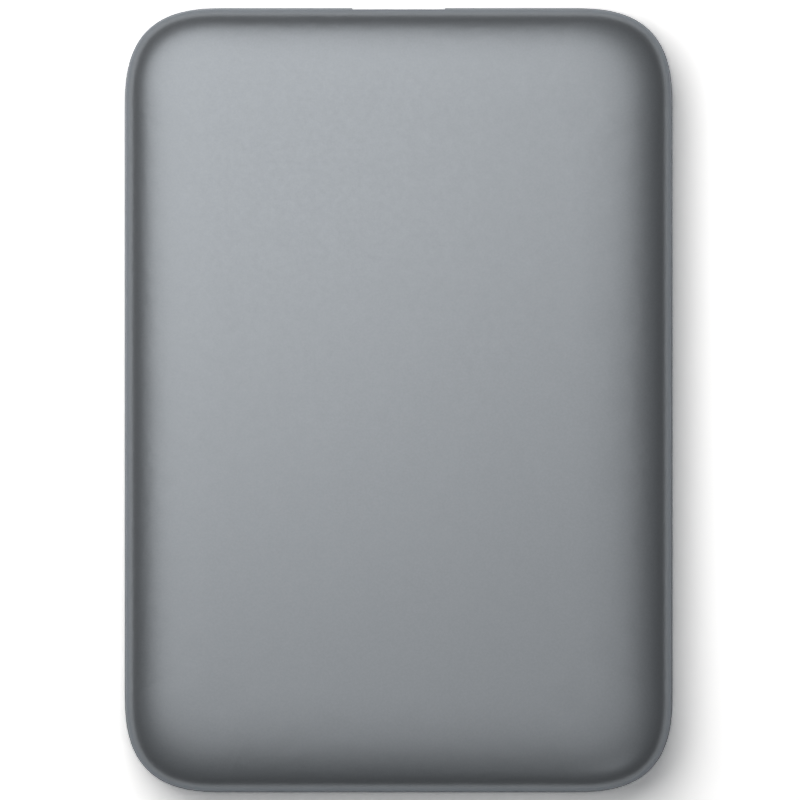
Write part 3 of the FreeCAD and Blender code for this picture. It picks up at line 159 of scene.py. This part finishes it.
# These two values of a pattern become the ends of the range that it is spread over
PATTERN_LOW = 0.3
PATTERN_HIGH = 0.7
# One turn of a wave pattern takes pi / 10 of the texture's own unit
WAVE_SCALE = math.pi / 10


class Finish:
    """A material whose colour, roughness and relief come from patterns in the part's frame."""

    def __init__(self, slot, **values):
        self.material = bpy.data.materials.new(slot + "_finish")
        self.material.use_nodes = True
        self.tree = self.material.node_tree
        self.shader = self.tree.nodes["Principled BSDF"]
        self.where = self.add("ShaderNodeTexCoord").outputs["Object"]
        for name, value in values.items():
            socket = name.replace("_", " ").title().replace("Ior", "IOR")
            self.shader.inputs[socket].default_value = value

    def add(self, kind, **settings):
        node = self.tree.nodes.new(kind)
        for name, value in settings.items():
            setattr(node, name, value)
        return node

    def link(self, source, target):
        self.tree.links.new(source, target)

    def scaled(self, step, stretch=(1, 1, 1)):
        """The part's coordinates, counted in steps of the given size in metres."""
        scale = self.add("ShaderNodeMapping")
        scale.inputs["Scale"].default_value = [share / step for share in stretch]
        self.link(self.where, scale.inputs["Vector"])
        return scale.outputs[0]

    def noise(self, grain, detail=2.0, stretch=(1, 1, 1)):
        """Cloudy pattern whose lumps are about the given size in metres."""
        pattern = self.add("ShaderNodeTexNoise")
        pattern.inputs["Scale"].default_value = 1.0
        pattern.inputs["Detail"].default_value = detail
        self.link(self.scaled(grain, stretch), pattern.inputs["Vector"])
        return pattern.outputs["Fac"]

    def bands(self, pitch, direction="Z", distortion=0.0):
        """Even stripes with the given pitch in metres."""
        pattern = self.add("ShaderNodeTexWave", bands_direction=direction)
        pattern.inputs["Scale"].default_value = WAVE_SCALE
        pattern.inputs["Distortion"].default_value = distortion
        self.link(self.scaled(pitch), pattern.inputs["Vector"])
        return pattern.outputs["Fac"]

    def cells(self, grain):
        """Round cells of about the given size in metres."""
        pattern = self.add("ShaderNodeTexVoronoi")
        pattern.inputs["Scale"].default_value = 1.0
        self.link(self.scaled(grain), pattern.inputs["Vector"])
        return pattern.outputs["Distance"]

    def spread(self, pattern, low, high):
        """Map a pattern's middle range to two values."""
        fit = self.add("ShaderNodeMapRange")
        fit.inputs["From Min"].default_value = PATTERN_LOW
        fit.inputs["From Max"].default_value = PATTERN_HIGH
        fit.inputs["To Min"].default_value = low
        fit.inputs["To Max"].default_value = high
        self.link(pattern, fit.inputs["Value"])
        return fit.outputs["Result"]

    def colour(self, pattern, dark, light):
        ramp = self.add("ShaderNodeValToRGB")
        first, last = ramp.color_ramp.elements
        first.position = PATTERN_LOW
        last.position = PATTERN_HIGH
        first.color = (*dark, 1)
        last.color = (*light, 1)
        self.link(pattern, ramp.inputs["Fac"])
        self.link(ramp.outputs["Color"], self.shader.inputs["Base Color"])
        return self

    def roughness(self, pattern, low, high):
        self.link(self.spread(pattern, low, high), self.shader.inputs["Roughness"])
        return self

    def relief(self, pattern, depth):
        bump = self.add("ShaderNodeBump")
        bump.inputs["Distance"].default_value = depth
        self.link(pattern, bump.inputs["Height"])
        self.link(bump.outputs["Normal"], self.shader.inputs["Normal"])
        return self


def tints(colour, change):
    """A darker and a lighter tint of one colour."""
    return [tuple(part * (1 + sign * change) for part in colour) for sign in (-1, 1)]


CASE_GREY = (0.256, 0.270, 0.284)
CASE_METALLIC = 0.55
CASE_EDGE_TINT = (0.15, 0.20, 0.26, 1)


def case_plastic(slot):
    """Satin paint with a metallic sheen over the moulded shells."""
    finish = Finish(slot, metallic=CASE_METALLIC, specular_tint=CASE_EDGE_TINT)
    finish.colour(finish.noise(0.3 * MM), *tints(CASE_GREY, change=0.03))
    finish.roughness(finish.noise(0.6 * MM), low=0.375, high=0.405)
    return finish.relief(finish.noise(0.22 * MM), depth=0.004 * MM)


def rubber(slot, colour, rough):
    """Dull moulded rubber with a fine grain."""
    finish = Finish(slot, specular_ior_level=0.3)
    finish.colour(finish.noise(0.5 * MM), *tints(colour, change=0.2))
    finish.roughness(finish.noise(3 * MM), low=rough - 0.08, high=rough + 0.08)
    return finish.relief(finish.noise(0.25 * MM), depth=0.01 * MM)


def clear_plastic(slot):
    """Clear moulding with a slight haze."""
    finish = Finish(slot, transmission_weight=1.0, ior=1.49)
    finish.colour(finish.noise(2 * MM), dark=(0.90, 0.93, 0.95), light=(0.96, 0.98, 0.99))
    return finish.roughness(finish.noise(1 * MM), low=0.10, high=0.2)


def laminate(slot):
    """Solder mask over a woven board."""
    finish = Finish(slot, coat_weight=0.4, coat_roughness=0.15)
    finish.colour(finish.noise(1.2 * MM), dark=(0.010, 0.055, 0.030), light=(0.016, 0.085, 0.045))
    finish.roughness(finish.noise(2 * MM), low=0.30, high=0.42)
    weave = finish.bands(0.6 * MM, direction="X", distortion=0.4)
    return finish.relief(weave, depth=0.004 * MM)


def resin(slot, colour, rough=0.5):
    """Filled moulding resin with a speckle."""
    finish = Finish(slot)
    finish.colour(finish.noise(0.2 * MM, detail=4), *tints(colour, change=0.3))
    finish.roughness(finish.noise(1 * MM), low=rough - 0.07, high=rough + 0.07)
    return finish.relief(finish.noise(0.12 * MM), depth=0.004 * MM)


def plating(slot, colour, low, high):
    """Plated metal whose shine varies a little."""
    finish = Finish(slot, metallic=1.0)
    finish.colour(finish.noise(1.5 * MM), *tints(colour, change=0.06))
    return finish.roughness(finish.noise(1.5 * MM, detail=4), low, high)


def brushed(slot, colour):
    """Rolled sheet with fine lines along its length."""
    finish = Finish(slot, metallic=1.0)
    lines = finish.noise(0.25 * MM, detail=3, stretch=(1, 0.02, 1))
    finish.colour(lines, *tints(colour, change=0.1))
    finish.roughness(lines, low=0.24, high=0.4)
    return finish.relief(lines, depth=0.003 * MM)


def cast(slot, colour):
    """Die-cast metal with a fine, even grain."""
    finish = Finish(slot, metallic=1.0)
    finish.colour(finish.noise(0.5 * MM), *tints(colour, change=0.05))
    finish.roughness(finish.noise(0.4 * MM), low=0.46, high=0.54)
    return finish.relief(finish.noise(0.25 * MM, detail=3), depth=0.006 * MM)


def machined(slot, colour):
    """Turned or milled metal with the tool's fine steps."""
    finish = Finish(slot, metallic=1.0)
    steps = finish.bands(0.12 * MM, distortion=0.3)
    finish.colour(finish.noise(2 * MM), *tints(colour, change=0.05))
    finish.roughness(finish.noise(0.8 * MM), low=0.2, high=0.32)
    return finish.relief(steps, depth=0.002 * MM)


def mirror(slot):
    """Polished disk."""
    finish = Finish(slot, metallic=1.0)
    finish.colour(finish.noise(12 * MM), dark=(0.80, 0.80, 0.80), light=(0.86, 0.86, 0.85))
    return finish.roughness(finish.noise(20 * MM), low=0.02, high=0.05)


def winding(slot):
    """Lacquered copper wire, turn beside turn."""
    finish = Finish(slot, metallic=1.0, coat_weight=0.5)
    turns = finish.bands(0.1 * MM, distortion=0.6)
    finish.colour(turns, dark=(0.55, 0.22, 0.10), light=(0.83, 0.40, 0.22))
    finish.roughness(finish.noise(0.5 * MM), low=0.25, high=0.38)
    return finish.relief(turns, depth=0.02 * MM)


def laminations(slot):
    """Stacked steel sheets."""
    finish = Finish(slot, metallic=1.0)
    sheets = finish.bands(0.1 * MM)
    finish.colour(sheets, dark=(0.20, 0.20, 0.21), light=(0.34, 0.34, 0.35))
    finish.roughness(finish.noise(0.4 * MM), low=0.42, high=0.58)
    return finish.relief(sheets, depth=0.01 * MM)


def film(slot):
    """Amber film with its conductors as stripes."""
    finish = Finish(slot, transmission_weight=0.25, coat_weight=0.3)
    finish.colour(finish.bands(0.3 * MM), dark=(0.42, 0.16, 0.03), light=(0.62, 0.27, 0.05))
    return finish.roughness(finish.noise(1 * MM), low=0.28, high=0.38)


def felt(slot):
    """Pale matted fibres."""
    finish = Finish(slot, sheen_weight=0.4)
    finish.colour(finish.noise(0.3 * MM, detail=5), dark=(0.60, 0.59, 0.55), light=(0.82, 0.81, 0.78))
    finish.roughness(finish.noise(0.5 * MM), low=0.85, high=0.98)
    return finish.relief(finish.noise(0.15 * MM, detail=4), depth=0.05 * MM)


def foam(slot):
    """Dark open-cell foam."""
    finish = Finish(slot)
    cells = finish.cells(0.25 * MM)
    finish.colour(cells, dark=(0.05, 0.05, 0.055), light=(0.12, 0.12, 0.13))
    finish.roughness(finish.noise(0.5 * MM), low=0.8, high=0.95)
    return finish.relief(cells, depth=0.05 * MM)


def lamp_lens(slot):
    """Milky yellowish lens of the small lamp."""
    finish = Finish(slot, transmission_weight=0.5, ior=1.5)
    finish.colour(finish.noise(0.4 * MM), dark=(0.80, 0.80, 0.66), light=(0.90, 0.90, 0.76))
    return finish.roughness(finish.noise(0.3 * MM), low=0.3, high=0.45)


FINISHES = {
    "case_plastic": case_plastic,
    "bumper_rubber": lambda slot: rubber(slot, (0.020, 0.020, 0.022), rough=0.7),
    "clear_plastic": clear_plastic,
    "board_laminate": laminate,
    "chip_resin": lambda slot: resin(slot, (0.014, 0.014, 0.016)),
    "connector_resin": lambda slot: resin(slot, (0.018, 0.018, 0.019), rough=0.42),
    "contact_gold": lambda slot: plating(slot, (0.93, 0.68, 0.30), low=0.18, high=0.3),
    "plated_steel": lambda slot: plating(slot, (0.60, 0.59, 0.57), low=0.22, high=0.36),
    "screw_steel": lambda slot: plating(slot, (0.36, 0.36, 0.38), low=0.28, high=0.42),
    "cast_aluminium": lambda slot: cast(slot, (0.56, 0.57, 0.58)),
    "cover_steel": lambda slot: brushed(slot, (0.62, 0.61, 0.60)),
    "machined_aluminium": lambda slot: machined(slot, (0.74, 0.75, 0.76)),
    "disk_mirror": mirror,
    "copper_wire": winding,
    "magnet_plate": lambda slot: plating(slot, (0.50, 0.50, 0.51), low=0.2, high=0.3),
    "stator_steel": laminations,
    "ramp_resin": lambda slot: resin(slot, (0.62, 0.60, 0.52), rough=0.4),
    "flex_film": film,
    "filter_felt": felt,
    "gasket_rubber": lambda slot: rubber(slot, (0.016, 0.016, 0.017), rough=0.8),
    "pad_foam": foam,
    "led_lens": lamp_lens,
}


def dress_nodes():
    """Give every node of the part the finish of its material slot."""
    made = {}
    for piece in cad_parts.values():
        for holder in piece.material_slots:
            slot = holder.material.name
            if slot not in made:
                made[slot] = FINISHES[slot](slot).material
            holder.material = made[slot]


add_camera()
add_floor()
add_lamp("key", KEY_PLACE, KEY_SIZE, KEY_POWER)
add_lamp("fill", FILL_PLACE, FILL_SIZE, FILL_POWER)
add_lamp("over", OVER_PLACE, OVER_SIZE, OVER_POWER)
add_sky()
dress_nodes()
